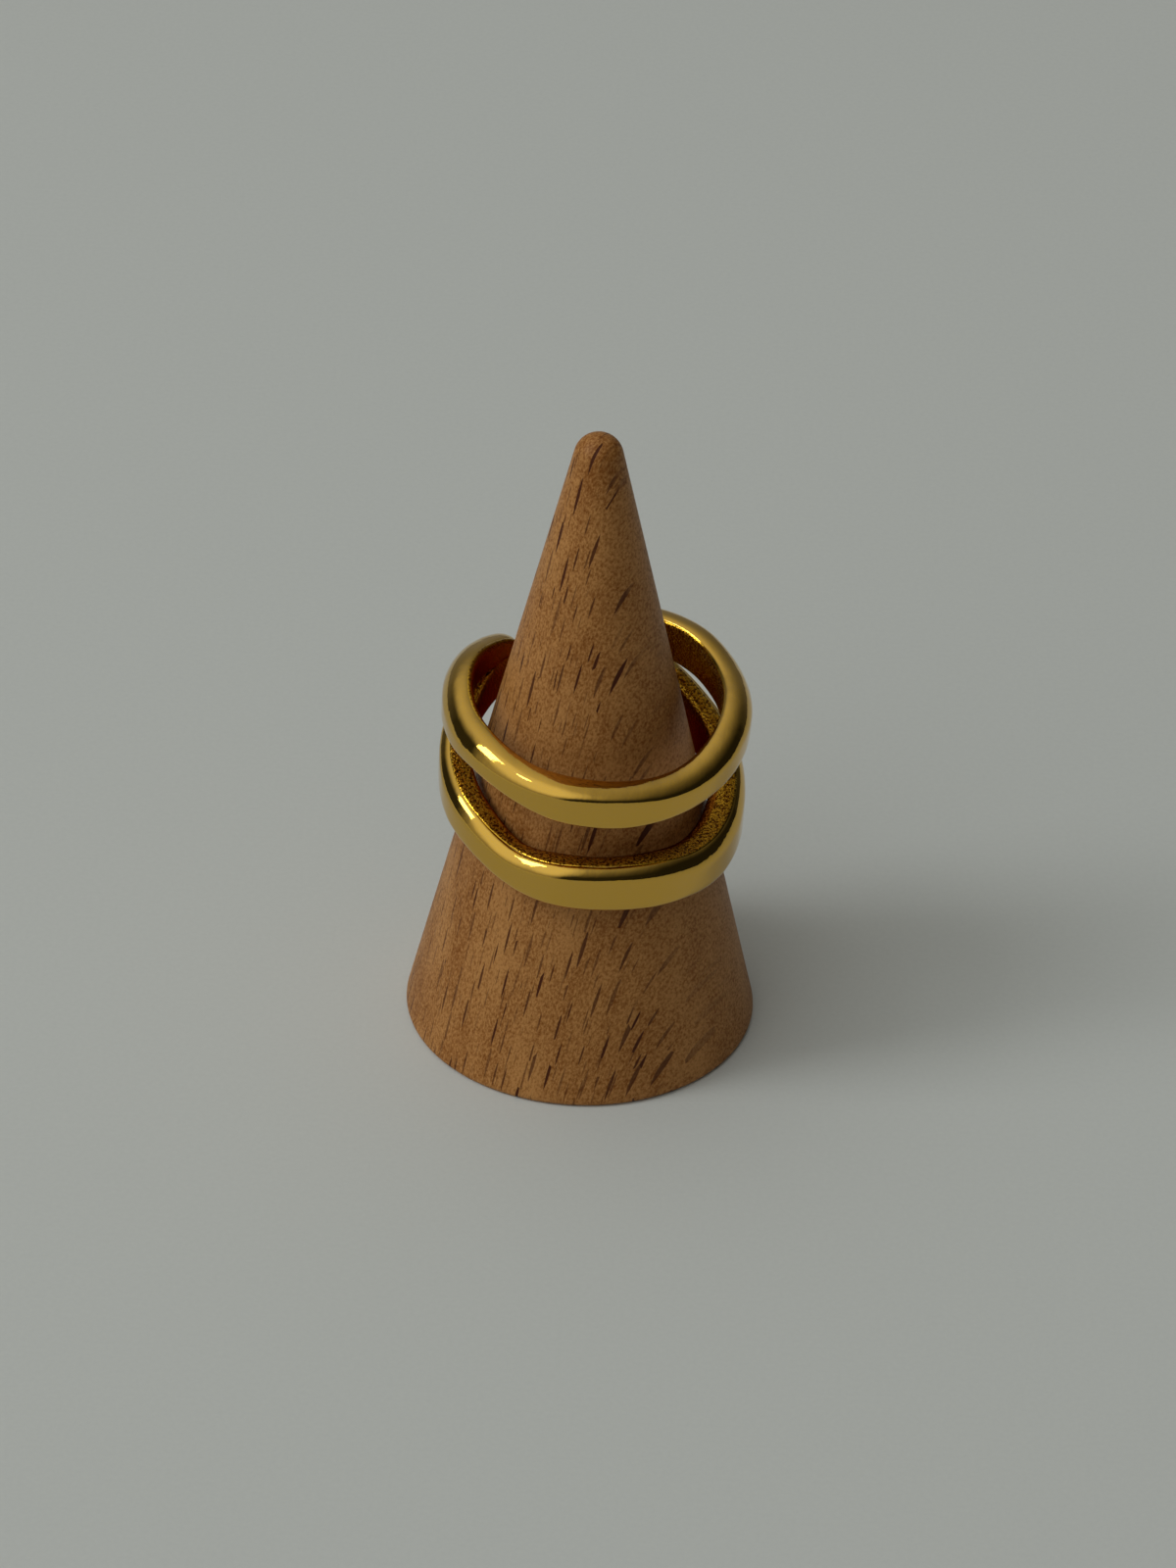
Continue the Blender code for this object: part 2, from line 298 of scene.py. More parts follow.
@dataclass(frozen=True)
class GoldFinish:
    """Polished yellow gold plate, left grainy where a wheel can't reach between the bands, with painted
    shade darkening those grainy faces and the ring's inside.
    """

    colour: tuple[float, float, float, float] = (0.67, 0.385, 0.030, 1.0)
    # The grainy faces' colour and their pits are darker than the polished gold: partly a grainy
    # unpolished finish, partly painted shade from the upper band.
    grain_and_shade_colour: tuple[float, float, float, float] = (0.62, 0.34, 0.026, 1.0)
    pit_and_shade_colour: tuple[float, float, float, float] = (0.12, 0.035, 0.003, 1.0)
    # Painted shade: the ring's inside is given a dark colour, and a dark tint that darkens its
    # reflections.
    inside_shade_colour: tuple[float, float, float, float] = (0.34, 0.11, 0.010, 1.0)
    inside_reflection_shade: tuple[float, float, float, float] = (0.22, 0.05, 0.005, 1.0)
    roughness: float = 0.060
    recess_roughness: float = 0.12
    coat: float = 0.55
    coat_ior: float = 1.8
    coat_roughness: float = 0.06
    coat_fade: float = 0.5
    inside_shade_range: tuple[float, float] = (0.1, 0.9)
    smear_scale: float = 420.0
    smear_detail: tuple[float, float] = (3.0, 0.6)
    smear_share: float = 0.35
    smear_range: tuple[float, float] = (0.3, 0.75)
    smear_gloss: tuple[float, float] = (0.75, 1.35)
    grain_and_shade_range: tuple[float, float] = (0.35, 0.95)
    pit_range: tuple[float, float] = (0.41, 0.53)
    grain_scale: float = 5200.0
    grain_detail: tuple[float, float] = (2.0, 0.55)
    grain_depth: float = 0.09 * MM
    polish_scale: float = 1100.0
    polish_depth: float = 0.020 * MM
    drag_length: float = 9.0
    drag_scale: float = 7000.0
    drag_depth: float = 0.0034 * MM
    recess_attribute: str = "recess"
    inside_attribute: str = "inside"

    def material(self) -> bpy.types.Material:
        """Build the material.

        Returns:
            The gold material.
        """
        material, bench = new_material("gold_plate")
        place = bench.add("ShaderNodeTexCoord").outputs["Object"]
        recess = bench.add("ShaderNodeAttribute", attribute_name=self.recess_attribute).outputs["Fac"]
        smear = bench.noise(place, self.smear_scale, *self.smear_detail)
        grain = bench.noise(place, self.grain_scale, *self.grain_detail)
        # Mask of the grainy faces, which carry a grainy finish and also painted shade under the upper
        # band.
        grain_and_shade_sum = bench.math("ADD", recess, bench.math("MULTIPLY", smear, self.smear_share))
        grain_and_shade = bench.ramp(grain_and_shade_sum, *self.grain_and_shade_range)
        smeared = [self.roughness * part for part in self.smear_gloss]
        roughness = bench.ramp(smear, *self.smear_range, *smeared)
        roughness = bench.math("ADD", roughness, bench.math("MULTIPLY", grain_and_shade, self.recess_roughness))
        inside = bench.add("ShaderNodeAttribute", attribute_name=self.inside_attribute).outputs["Fac"]
        # Painted shade on the ring's inside: its colour and its reflections are darkened here.
        inside_shade = bench.ramp(inside, *self.inside_shade_range)
        # Darker pitted colour on the grainy faces: partly grain, partly painted shade.
        pitted = bench.mix(bench.ramp(grain, *self.pit_range), self.pit_and_shade_colour, self.grain_and_shade_colour)
        colour = bench.mix(grain_and_shade, self.colour, pitted)
        colour = bench.mix(inside_shade, colour, self.inside_shade_colour)
        polish = bench.bump(bench.noise(place, self.polish_scale, 2.0), self.polish_depth)
        drag = bench.noise(self.drag_place(bench, place), 1.0, 2.0)
        dragged = bench.bump(drag, self.drag_depth, polish)
        relief = bench.bump(bench.math("MULTIPLY", grain, grain_and_shade), self.grain_depth, dragged)
        uncoated = bench.math("ADD", inside, recess)
        bench.surface(
            Base_Color=colour,
            Metallic=1.0,
            Roughness=roughness,
            # Painted shade: darker reflections on the ring's inside.
            Specular_Tint=bench.mix(inside_shade, WHITE, self.inside_reflection_shade),
            Coat_Weight=bench.ramp(uncoated, 0.0, self.coat_fade, self.coat, 0.0),
            Coat_Roughness=self.coat_roughness,
            Coat_IOR=self.coat_ior,
            Normal=relief,
        )
        return material

    def drag_place(self, bench: Bench, place: Socket) -> Socket:
        """Stretch a place round the ring, so that noise read there runs along the bands.

        Args:
            bench: The material's bench.
            place: The place on the ring.

        Returns:
            The stretched place's socket.
        """
        east, north, height = bench.split(place)
        flat = bench.combine(east, north, 0.0)
        radius = bench.vector("LENGTH", flat)
        way = bench.split(bench.vector("NORMALIZE", flat))
        across = bench.math("MULTIPLY", bench.math("ADD", height, radius), self.drag_scale)
        along = [bench.math("MULTIPLY", part, self.drag_length) for part in way[:2]]
        return bench.combine(along[0], along[1], across)


WoodPlace = tuple[Socket, Socket, Socket]


@dataclass(frozen=True)
class Flecks:
    """One kind of ray fleck: lens-shaped cells that lie along the wood's rays."""

    cell: tuple[float, float, float]
    half_width: float
    half_height: float
    half_length: float
    share: float
    strength: float


@dataclass(frozen=True)
class BeechFinish:
    """Satin steamed beech as a solid texture, so that the flecks run through the cone.

    The rays run out towards the front left, where the flecks are seen end on as fine dashes. To
    the right the cut follows the rays, where the flecks grow broad and slanted and then fade out.
    """

    light: tuple[float, float, float, float] = (0.54, 0.254, 0.074, 1.0)
    deep: tuple[float, float, float, float] = (0.23, 0.070, 0.006, 1.0)
    fleck: tuple[float, float, float, float] = (0.070, 0.013, 0.0010, 1.0)
    ray_turn: float = -32.0
    lean: float = 5.5
    spread_from: float = 0.80
    spread: float = 0.55
    spread_blend: float = 1.2
    fade_out: tuple[float, float] = (0.86, 0.95)
    broad_fade: tuple[float, float] = (0.88, 0.96)
    broad_strength: float = 0.35
    fleck_edge: tuple[float, float] = (0.68, 0.92)
    fleck_sizes: tuple[float, float] = (0.55, 1.15)
    faintest_fleck: float = 0.5
    dashes: Flecks = Flecks(cell=(1.25, 3.1, 3.2), half_width=0.130, half_height=1.60,
                            half_length=3.4, share=1.0, strength=1.0)
    fine_dashes: Flecks = Flecks(cell=(0.80, 2.6, 3.0), half_width=0.070, half_height=1.10,
                                 half_length=3.0, share=0.70, strength=0.6)
    mottle: tuple[float, float, float] = (0.15, 0.26, 0.22)
    fibre: tuple[float, float, float] = (0.055, 1.6, 0.5)
    cloud: tuple[float, float, float] = (3.4, 11.0, 5.0)
    fine_detail: tuple[float, float] = (2.0, 0.6)
    cloud_detail: tuple[float, float] = (3.0, 0.55)
    layer_weights: tuple[float, float, float] = (0.70, 0.20, 0.45)
    tone_range: tuple[float, float] = (0.44, 0.84)
    relief: float = 0.020 * MM
    tone_relief: float = 0.6
    gloss_range: tuple[float, float] = (0.4, 0.9)
    roughness: tuple[float, float] = (0.44, 0.58)
    sheen_level: float = 0.20

    def wood_place(self, bench: Bench) -> WoodPlace:
        """Work out where a point lies in the wood, in millimetres.

        Args:
            bench: The material's bench.

        Returns:
            The places across the grain, along the grain and along the rays.
        """
        place = bench.vector("SCALE", bench.add("ShaderNodeTexCoord").outputs["Object"])
        place.node.inputs["Scale"].default_value = 1 / MM
        turn = math.radians(self.ray_turn)
        across = bench.vector("DOT_PRODUCT", place, (math.cos(turn), math.sin(turn), 0.0))
        rays = bench.vector("DOT_PRODUCT", place, (math.sin(turn), -math.cos(turn), 0.0))
        height = bench.split(place)[2]
        cone = RingCone()
        edge = bench.math("MULTIPLY", bench.math("SUBTRACT", cone.apex() / MM, height),
                          self.spread_from * math.tan(cone.side_angle()))
        beyond = bench.math("MULTIPLY", bench.math("SUBTRACT", across, edge), self.spread)
        past = bench.math("ADD", edge, beyond)
        bent = bench.math("SMOOTH_MIN", across, past, self.spread_blend)
        slant = bench.math("MULTIPLY", height, math.tan(math.radians(self.lean)))
        leaning = bench.math("SUBTRACT", bent, slant)
        return leaning, height, rays

    def scaled(self, bench: Bench, place: WoodPlace, size: tuple[float, float, float]) -> Socket:
        """Divide a place in the wood by a size.

        Args:
            bench: The material's bench.
            place: The three places that wood_place returns.
            size: Sizes in millimetres across the grain, along it and along the rays.

        Returns:
            The scaled vector's socket.
        """
        return bench.combine(*(bench.math("DIVIDE", part, length) for part, length in zip(place, size)))

    def flecks(self, bench: Bench, place: WoodPlace, kind: Flecks) -> Socket:
        """Draw one kind of fleck.

        Args:
            bench: The material's bench.
            place: The three places that wood_place returns.
            kind: Sizes of the flecks.

        Returns:
            A mask's socket, 1 in the middle of a fleck.
        """
        cells = bench.add("ShaderNodeTexVoronoi", voronoi_dimensions="3D", feature="F1")
        cells.inputs["Scale"].default_value = 1.0
        where = self.scaled(bench, place, kind.cell)
        bench.plug(cells.inputs["Vector"], where)
        away = bench.split(bench.vector("SUBTRACT", where, cells.outputs["Position"]))
        chance, size, depth = bench.split(cells.outputs["Color"])
        grown = bench.ramp(size, 0.0, 1.0, *self.fleck_sizes)
        wide = bench.math("ABSOLUTE", bench.math("MULTIPLY", away[0], kind.cell[0] / kind.half_width))
        tall = bench.math("MULTIPLY", away[1], kind.cell[1] / kind.half_height)
        tall = bench.math("POWER", bench.math("DIVIDE", tall, grown), 2.0)
        long = bench.math("POWER", bench.math("MULTIPLY", away[2], kind.cell[2] / kind.half_length), 2.0)
        reach = bench.math("ADD", bench.math("ADD", bench.math("DIVIDE", wide, grown), tall), long)
        mask = bench.ramp(reach, *self.fleck_edge, 1.0, 0.0)
        there = bench.math("LESS_THAN", chance, kind.share)
        strength = bench.ramp(depth, 0.0, 1.0, kind.strength * self.faintest_fleck, kind.strength)
        return bench.math("MULTIPLY", bench.math("MULTIPLY", mask, there), strength)

    def material(self) -> bpy.types.Material:
        """Build the material.

        Returns:
            The beech material.
        """
        material, bench = new_material("steamed_beech")
        place = self.wood_place(bench)
        dashes = self.flecks(bench, place, self.dashes)
        fine = self.flecks(bench, place, self.fine_dashes)
        normal = bench.add("ShaderNodeTexCoord").outputs["Normal"]
        turn = math.radians(self.ray_turn)
        broad = bench.vector("DOT_PRODUCT", normal, (math.cos(turn), math.sin(turn), 0.0))
        east_shown = bench.ramp(bench.split(normal)[0], *self.fade_out, 1.0, 0.0)
        broad_shown = bench.ramp(broad, *self.broad_fade, 1.0, self.broad_strength)
        shown = bench.math("MULTIPLY", east_shown, broad_shown)
        marks = bench.math("MULTIPLY", bench.math("MAXIMUM", dashes, fine), shown)
        mottle = bench.noise(self.scaled(bench, place, self.mottle), 1.0, *self.fine_detail)
        fibre = bench.noise(self.scaled(bench, place, self.fibre), 1.0, *self.fine_detail)
        cloud = bench.noise(self.scaled(bench, place, self.cloud), 1.0, *self.cloud_detail)
        layers = zip((mottle, fibre, cloud), self.layer_weights)
        parts = [bench.math("MULTIPLY", layer, weight) for layer, weight in layers]
        tone = bench.math("ADD", bench.math("ADD", parts[0], parts[1]), parts[2])
        wood = bench.mix(bench.ramp(tone, *self.tone_range), self.deep, self.light)
        colour = bench.mix(marks, wood, self.fleck)
        height = bench.math("SUBTRACT", bench.math("MULTIPLY", tone, self.tone_relief), marks)
        roughness = bench.ramp(tone, *self.gloss_range, self.roughness[1], self.roughness[0])
        bench.surface(
            Base_Color=colour,
            Roughness=roughness,
            Specular_IOR_Level=self.sheen_level,
            Normal=bench.bump(height, self.relief),
        )
        return material


@dataclass
class RingCone:
    """The plain turned cone that holds the ring."""

    height: float = 0.050
    base_radius: float = 0.01295
    tip_radius: float = 0.0018
    edge_radius: float = 0.0004
    sides: int = 192
    side_steps: int = 60
    tip_steps: int = 14
    edge_steps: int = 5
    turning_wave: float = 0.012 * MM
    turning_wave_length: float = 2 * MM
    sharp_angle: float = 60.0

    def side_angle(self) -> float:
        """Work out the angle between the side and the vertical, with the side tangent to the tip.

        Returns:
            The angle in radians.
        """
        tip_centre = self.height - self.tip_radius
        reach = math.hypot(self.base_radius, tip_centre)
        return math.atan2(self.base_radius, tip_centre) - math.asin(self.tip_radius / reach)

    def apex(self) -> float:
        """Height at which the straight side would come to a point."""
        return self.base_radius / math.tan(self.side_angle())

    def profile(self) -> list[tuple[float, float]]:
        """Work out the turned profile.

        Returns:
            Radius and height of each point, from the foot's edge up to just below the top.
        """
        angle = self.side_angle()
        slope = math.tan(angle)
        points = []
        edge_centre = self.base_radius - self.edge_radius * slope - self.edge_radius / math.cos(angle)
        for step in range(self.edge_steps + 1):
            turn = -math.pi / 2 + (math.pi / 2 + angle) * step / self.edge_steps
            points.append((edge_centre + self.edge_radius * math.cos(turn),
                           self.edge_radius + self.edge_radius * math.sin(turn)))
        tip_centre = self.height - self.tip_radius
        low = points[-1][1]
        high = tip_centre + self.tip_radius * math.sin(angle)
        for step in range(1, self.side_steps):
            height = low + (high - low) * step / self.side_steps
            points.append((self.base_radius - height * slope, height))
        for step in range(self.tip_steps):
            turn = angle + (math.pi / 2 - angle) * step / self.tip_steps
            reach = self.tip_radius * math.cos(turn)
            points.append((reach, tip_centre + self.tip_radius * math.sin(turn)))
        return points

    def build(self, finish: BeechFinish) -> bpy.types.Object:
        """Turn the profile about the Z axis and dress it.

        Args:
            finish: The wood.

        Returns:
            The cone.
        """
        work = bmesh.new()
        rings = []
        for radius, height in self.profile():
            ring = []
            for side in range(self.sides):
                turn = math.tau * side / self.sides
                rise = height / self.turning_wave_length
                wave = noise.noise(Vector((math.cos(turn), math.sin(turn), rise)))
                reach = radius - self.turning_wave * (1 + wave) / 2
                ring.append(work.verts.new((reach * math.cos(turn), reach * math.sin(turn), height)))
            rings.append(ring)
        for lower, upper in zip(rings, rings[1:]):
            for side in range(self.sides):
                after = (side + 1) % self.sides
                work.faces.new((lower[side], lower[after], upper[after], upper[side]))
        foot = work.verts.new((0.0, 0.0, 0.0))
        top = work.verts.new((0.0, 0.0, self.height))
        for side in range(self.sides):
            after = (side + 1) % self.sides
            work.faces.new((rings[0][after], rings[0][side], foot))
            work.faces.new((rings[-1][side], rings[-1][after], top))
        piece = add_piece("turned_beech_cone", mesh_from(work, "turned_beech_cone"), finish.material())
        piece.data.set_sharp_from_angle(angle=math.radians(self.sharp_angle))
        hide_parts("ring_cone")
        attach(piece, ROOT_BODY)
        return piece


class Spot(IntEnum):
    """Points of a band's section, counted round it from the outer lower edge."""

    FOOT_EDGE = 0
    FACE_LOW = 1
    FACE_MIDDLE = 2
    FACE_HIGH = 3
    RIDGE = 4
    SLOPE = 5
    SHOULDER = 6
    CREST = 7
    INNER_TOP = 8
    INNER_HIGH = 9
    INNER_MIDDLE = 10
    INNER_LOW = 11
    INNER_FOOT = 12
    SOLE_INNER = 13
    SOLE_MIDDLE = 14
    SOLE_OUTER = 15


class Station(NamedTuple):
    """The ring's edges at one turn.

    Ridges and feet are shares of the ring's height and rises are shares of the crown's. Insets,
    where an outer face is drawn in, and the ledge, by which the lower band's top reaches further
    in than the upper band's, are shares of the wall.
    """

    turn: float
    upper_ridge: float
    upper_foot: float
    upper_rise: float
    upper_inset: float
    lower_ridge: float
    lower_foot: float
    lower_rise: float
    lower_inset: float
    ledge: float


STATIONS = (
    Station(-150, 0.81, 0.74, 0.70, 0.00, 0.740, 0.60, 0.50, 0.00, 0.00),
    Station(-125, 0.89, 0.77, 0.80, 0.00, 0.770, 0.53, 0.50, 0.00, 0.00),
    Station(-110, 0.92, 0.79, 0.90, 0.00, 0.650, 0.46, 0.55, 0.00, 0.02),
    Station(-90, 0.91, 0.77, 1.00, 0.00, 0.530, 0.35, 0.45, 0.00, 0.06),
    Station(-70, 0.86, 0.76, 1.00, 0.00, 0.420, 0.26, 0.66, 0.00, 0.10),
    Station(-50, 0.83, 0.74, 1.00, 0.05, 0.334, 0.184, 0.70, 0.07, 0.12),
    Station(-32, 0.80, 0.68, 0.80, 0.10, 0.241, 0.082, 0.63, 0.18, 0.12),
    Station(-15, 0.795, 0.635, 0.65, 0.00, 0.255, 0.065, 0.63, 0.00, 0.12),
    Station(8, 0.785, 0.595, 0.50, 0.04, 0.248, 0.030, 0.63, 0.09, 0.12),
    Station(32, 0.76, 0.612, 0.60, 0.00, 0.225, 0.018, 0.72, 0.00, 0.16),
    Station(50, 0.77, 0.64, 0.80, 0.00, 0.180, 0.00, 0.85, 0.00, 0.24),
    Station(70, 0.82, 0.68, 0.90, 0.00, 0.200, 0.02, 0.95, 0.00, 0.30),
    Station(90, 0.86, 0.70, 1.00, 0.00, 0.290, 0.10, 0.95, 0.00, 0.24),
    Station(110, 0.88, 0.70, 1.00, 0.00, 0.410, 0.18, 0.90, 0.00, 0.10),
    Station(130, 0.93, 0.73, 0.90, 0.00, 0.500, 0.26, 0.85, 0.00, 0.04),
    Station(150, 0.95, 0.75, 0.80, 0.00, 0.630, 0.42, 0.80, 0.00, 0.02),
    Station(175, 0.93, 0.78, 0.80, 0.00, 0.780, 0.59, 0.50, 0.00, 0.00),
    Station(200, 0.87, 0.75, 0.70, 0.00, 0.750, 0.65, 0.50, 0.00, 0.00),
)


class TopShape(NamedTuple):
    """How a band's top climbs: each point's place as a share of the wall, and its share of the rise."""

    slope: tuple[float, float]
    shoulder: tuple[float, float]
    crest: tuple[float, float]
    inner_top: float


class Band(Enum):
    """The two bands, each with the shape of its top."""

    UPPER = TopShape((0.14, 0.46), (0.35, 0.86), (0.68, 1.00), 0.93)
    LOWER = TopShape((0.13, 0.50), (0.29, 0.97), (0.60, 1.02), 0.97)


Section = list[tuple[float, float]]
Points = list[bmesh.types.BMVert]


@dataclass(frozen=True)
class SectionShares:
    """Where the plainer points of a band's section lie.

    Face values are shares of the outer face's height, inside values shares of the inner face's
    height and of the ledge, and all others shares of the wall. The second value of a sole's pair
    is a share of the sole's rise.
    """

    foot_tuck: float = 0.03
    face_low: float = 0.18
    face_middle: float = 0.50
    face_high: float = 0.15
    ridge_tuck: float = 0.02
    inner_lip: float = 0.06
    inside: tuple[float, float, float] = (0.80, 0.50, 0.20)
    inner_heel: float = 0.02
    sole_inner: tuple[float, float] = (0.25, 0.3)
    sole_middle: float = 0.52
    sole_outer: tuple[float, float] = (0.24, 0.1)


@dataclass
class DoubleBandRing:
    """The ring: two arms, and two bands that part round the front between them."""

    inner_radius: float = 0.0090
    wall: float = 0.00225
    height: float = 0.0130
    crown_rise: float = 0.0012
    sole_rise: float = 0.0003
    seat_gap: float = 0.00025
    shift_right: float = 0.0004
    shift_forward: float = 0.0003
    lean: float = 1.4
    left_tip: float = -142.0
    left_fork: float = -125.0
    right_fork: float = 175.0
    right_tip: float = 194.0
    band_steps: int = 40
    fine_levels: int = 3
    hand_wave: float = 0.038 * MM
    hand_wave_length: float = 3.2 * MM
    ripple: float = 0.012 * MM
    ripple_length: float = 1.1 * MM
    shaded_edge: float = 0.38
    open_edge: float = 0.90
    grain_softness: float = 0.10
    inside_from: float = 0.88
    inside_softness: float = 0.14
    wrap_turn: float = -155.0
    arm_sections: tuple[tuple[float, float], ...] = (
        (0.25, 1.0), (0.55, 1.0), (0.85, 0.90), (1.0, 0.60))
    shares: SectionShares = SectionShares()
    cone: RingCone = field(default_factory=RingCone)

    def station(self, turn: float) -> Station:
        """Read the table at any turn, with a smooth curve through its rows.

        Args:
            turn: The turn in degrees.

        Returns:
            The row at that turn.
        """
        last = len(STATIONS) - 1
        reached = max(turn, STATIONS[0].turn)
        low = max(index for index in range(last) if STATIONS[index].turn <= reached)
        rows = [STATIONS[min(max(low + step, 0), last)] for step in (-1, 0, 1, 2)]
        span = rows[2].turn - rows[1].turn
        share = (turn - rows[1].turn) / span
        values = [turn]
        for before, start, end, after in list(zip(*rows))[1:]:
            slope_in = (end - before) / (rows[2].turn - rows[0].turn) * span
            slope_out = (after - start) / (rows[3].turn - rows[1].turn) * span
            cubic = 2 * start - 2 * end + slope_in + slope_out
            square = 3 * end - 3 * start - 2 * slope_in - slope_out
            values.append(((cubic * share + square) * share + slope_in) * share + start)
        return Station(*values)

    def foot_height(self) -> float:
        """Work out the height of the ring's lowest share.

        Returns:
            The height at which its inside meets the cone's front with the gap.
        """
        seat_radius = self.inner_radius + self.shift_forward - self.seat_gap
        seat_height = (self.cone.base_radius - seat_radius) / math.tan(self.cone.side_angle())
        return seat_height - self.sole_rise - self.station(0.0).lower_foot * self.height

    def place(self, turn: float, radius: float, height: float) -> Vector:
        """Place a point of the ring.

        Args:
            turn: The turn in degrees.
            radius: The distance from the ring's own leaning axis.
            height: The height above the cone's foot.

        Returns:
            The point.
        """
        angle = math.radians(turn)
        middle = self.foot_height() + self.height / 2
        lean = math.tan(math.radians(self.lean)) * (height - middle)
        right = self.shift_right + lean + radius * math.sin(angle)
        return Vector((right, -self.shift_forward - radius * math.cos(angle), height))

    def section(self, band: Band, edges: tuple[float, float, float], inset: float,
                ledge: float) -> Section:
        """Lay out one band's section.

        Args:
            band: Which band it is.
            edges: Heights of the outer face's upper and lower edge, and the top's rise.
            inset: How far the outer face is drawn in.
            ledge: How far the top reaches in past the foot of the inner face.

        Returns:
            Radius and height of each point, in the order of Spot.
        """
        ridge, foot, rise = edges
        wall = self.wall
        inner = self.inner_radius
        outer = inner + wall - inset
        tall = ridge - foot
        inner_foot = foot + self.sole_rise
        inner_tall = ridge + rise - inner_foot
        shape = band.value
        shares = self.shares
        top = [(outer - place * wall, ridge + climb * rise) for place, climb in shape[:3]]
        inside = [(inner - share * ledge, inner_foot + share * inner_tall)
                  for share in shares.inside]
        return [
            (outer - shares.foot_tuck * wall, foot),
            (outer, foot + shares.face_low * tall),
            (outer, foot + shares.face_middle * tall),
            (outer, ridge - shares.face_high * tall),
            (outer - shares.ridge_tuck * wall, ridge),
            *top,
            (inner - ledge + shares.inner_lip * wall, ridge + shape.inner_top * rise),
            *inside,
            (inner + shares.inner_heel * wall, inner_foot),
            (inner + shares.sole_inner[0] * wall, foot + shares.sole_inner[1] * self.sole_rise),
            (inner + shares.sole_middle * wall, foot),
            (outer - shares.sole_outer[0] * wall, foot - shares.sole_outer[1] * self.sole_rise),
        ]

    def sections(self, turn: float) -> tuple[Section, Section]:
        """Lay out both bands' sections at one turn.

        Args:
            turn: The turn in degrees.

        Returns:
            The upper and the lower band's section.
        """
        row = self.station(turn)
        base = self.foot_height()
        upper_edges = (base + row.upper_ridge * self.height, base + row.upper_foot * self.height,
                       row.upper_rise * self.crown_rise)
        lower_edges = (base + row.lower_ridge * self.height, base + row.lower_foot * self.height,
                       row.lower_rise * self.crown_rise)
        upper = self.section(Band.UPPER, upper_edges, row.upper_inset * self.wall, 0.0)
        lower = self.section(Band.LOWER, lower_edges, row.lower_inset * self.wall, row.ledge * self.wall)
        return upper, lower

    def add_section(self, work: bmesh.types.BMesh, turn: float, section: Section) -> Points:
        """Add a section's points at one turn."""
        return [work.verts.new(self.place(turn, radius, height)) for radius, height in section]

    def fork(self, work: bmesh.types.BMesh, turn: float) -> tuple[Points, Points]:
        """Add the points of a fork, where the upper band's underside is the lower band's top.

        Args:
            work: The ring's bmesh.
            turn: The fork's turn in degrees.

        Returns:
            The upper and the lower band's points, which share five.
        """
        upper_section, lower_section = self.sections(turn)
        upper = self.add_section(work, turn, upper_section)
        lower = self.add_section(work, turn, lower_section[:Spot.RIDGE])
        lower += [upper[Spot.FOOT_EDGE], upper[Spot.SOLE_OUTER], upper[Spot.SOLE_MIDDLE],
                  upper[Spot.SOLE_INNER], upper[Spot.INNER_FOOT]]
        lower += self.add_section(work, turn, lower_section[Spot.INNER_HIGH:])
        return upper, lower

    @staticmethod
    def arm_loop(upper: Points, lower: Points) -> Points:
        """The points round an arm: the lower band up to its ridge, the upper band, and back down."""
        return (lower[:Spot.RIDGE + 1] + upper[Spot.FACE_LOW:Spot.INNER_FOOT]
                + lower[Spot.INNER_TOP:])

    @staticmethod
    def shrunk(section: Section, share: float) -> Section:
        """Draw a section in towards its own middle.

        Args:
            section: The section.
            share: How much of its size is left.

        Returns:
            The smaller section.
        """
        radius_mean = sum(radius for radius, _ in section) / len(section)
        height_mean = sum(height for _, height in section) / len(section)
        return [(radius_mean + (radius - radius_mean) * share,
                 height_mean + (height - height_mean) * share)
                for radius, height in section]

    @staticmethod
    def bridge(work: bmesh.types.BMesh, first: Points, second: Points) -> None:
        """Join two sections with one face for each pair of neighbouring points.

        Args:
            work: The ring's bmesh.
            first: One section's points.
            second: The next section's points.
        """
        for point in range(len(first)):
            after = (point + 1) % len(first)
            work.faces.new((first[point], first[after], second[after], second[point]))

    @staticmethod
    def close_arm(work: bmesh.types.BMesh, loop: Points) -> None:
        """Close an arm's last loop with a grid of faces between its outer and inner side.

        Args:
            work: The ring's bmesh.
            loop: The arm's last points, in the order of arm_loop.
        """
        across = Spot.INNER_TOP - Spot.RIDGE
        outer = loop[:2 * Spot.RIDGE + 1]
        crown = loop[2 * Spot.RIDGE:2 * Spot.RIDGE + across + 1]
        sole = [loop[0]] + [loop[-step] for step in range(1, across)]
        inner_start = 2 * Spot.RIDGE + across
        inner = loop[inner_start:inner_start + len(outer)]
        inner.reverse()
        sole.append(inner[0])
        rows = [sole]
        for low, high in zip(outer[1:-1], inner[1:-1]):
            row = [low]
            for step in range(1, across):
                row.append(work.verts.new(low.co.lerp(high.co, step / across)))
            rows.append(row + [high])
        rows.append(crown)
        for first, second in zip(rows, rows[1:]):
            for step in range(across):
                work.faces.new((first[step], first[step + 1], second[step + 1], second[step]))

    def build_arm(self, work: bmesh.types.BMesh, fork_loop: Points, fork_turn: float,
                  tip_turn: float) -> None:
        """Carry the joined bands from their fork to the ring's rounded end.

        Args:
            work: The ring's bmesh.
            fork_loop: The fork's points, in the order of arm_loop.
            fork_turn: The fork's turn in degrees.
            tip_turn: The end's turn in degrees.
        """
        last = fork_loop
        for share, scale in self.arm_sections:
            turn = fork_turn + (tip_turn - fork_turn) * share
            loop = self.add_section(work, turn, self.shrunk(self.arm_loop(*self.sections(turn)), scale))
            self.bridge(work, last, loop)
            last = loop
        self.close_arm(work, last)

